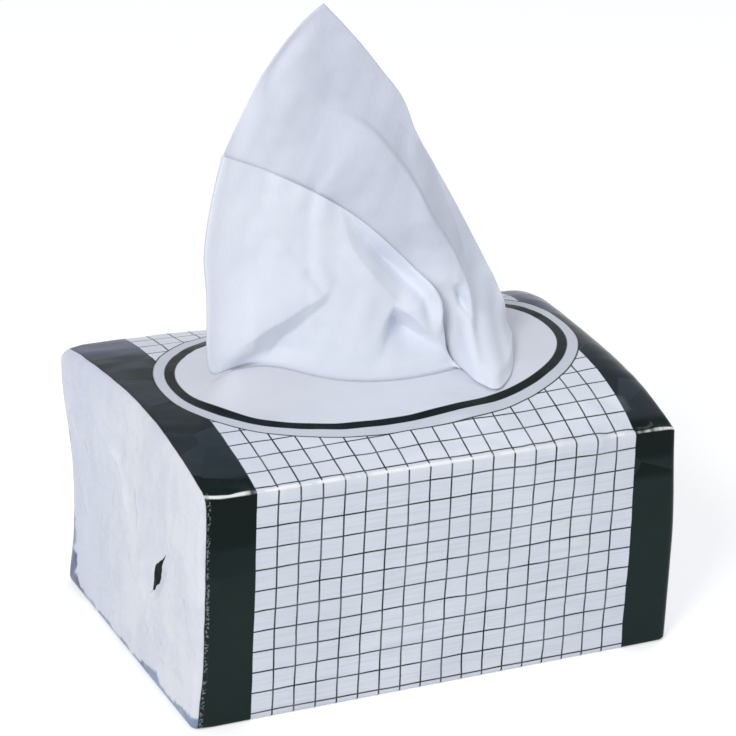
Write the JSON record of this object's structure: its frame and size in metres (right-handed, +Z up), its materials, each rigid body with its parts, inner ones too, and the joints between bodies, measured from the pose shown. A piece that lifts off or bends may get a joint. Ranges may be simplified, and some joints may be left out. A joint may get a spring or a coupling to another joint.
{
  "type": "soft pack of polishing wipes",
  "caption": "Loaf-shaped soft pack of printed film around a stack of interfolded dry wipes, with a white wipe drawn up through a slit in its domed top.",
  "frame": {"origin": "middle of the pack's underside, on the surface it stands on", "axes": "+X along the pack's length, to the right in the picture; -Y out of the front panel; +Z up"},
  "size_m": [0.188, 0.126, 0.2405],
  "materials": {
    "printed_film": "printed glossy film",
    "wipe_layers": "nonwoven",
    "wipe_cloth": "nonwoven"
  },
  "bodies": {
    "root": {"film_wrapper": "printed_film", "wipe_stack": "wipe_layers", "pulled_wipe": "wipe_cloth"}
  },
  "joints": []
}
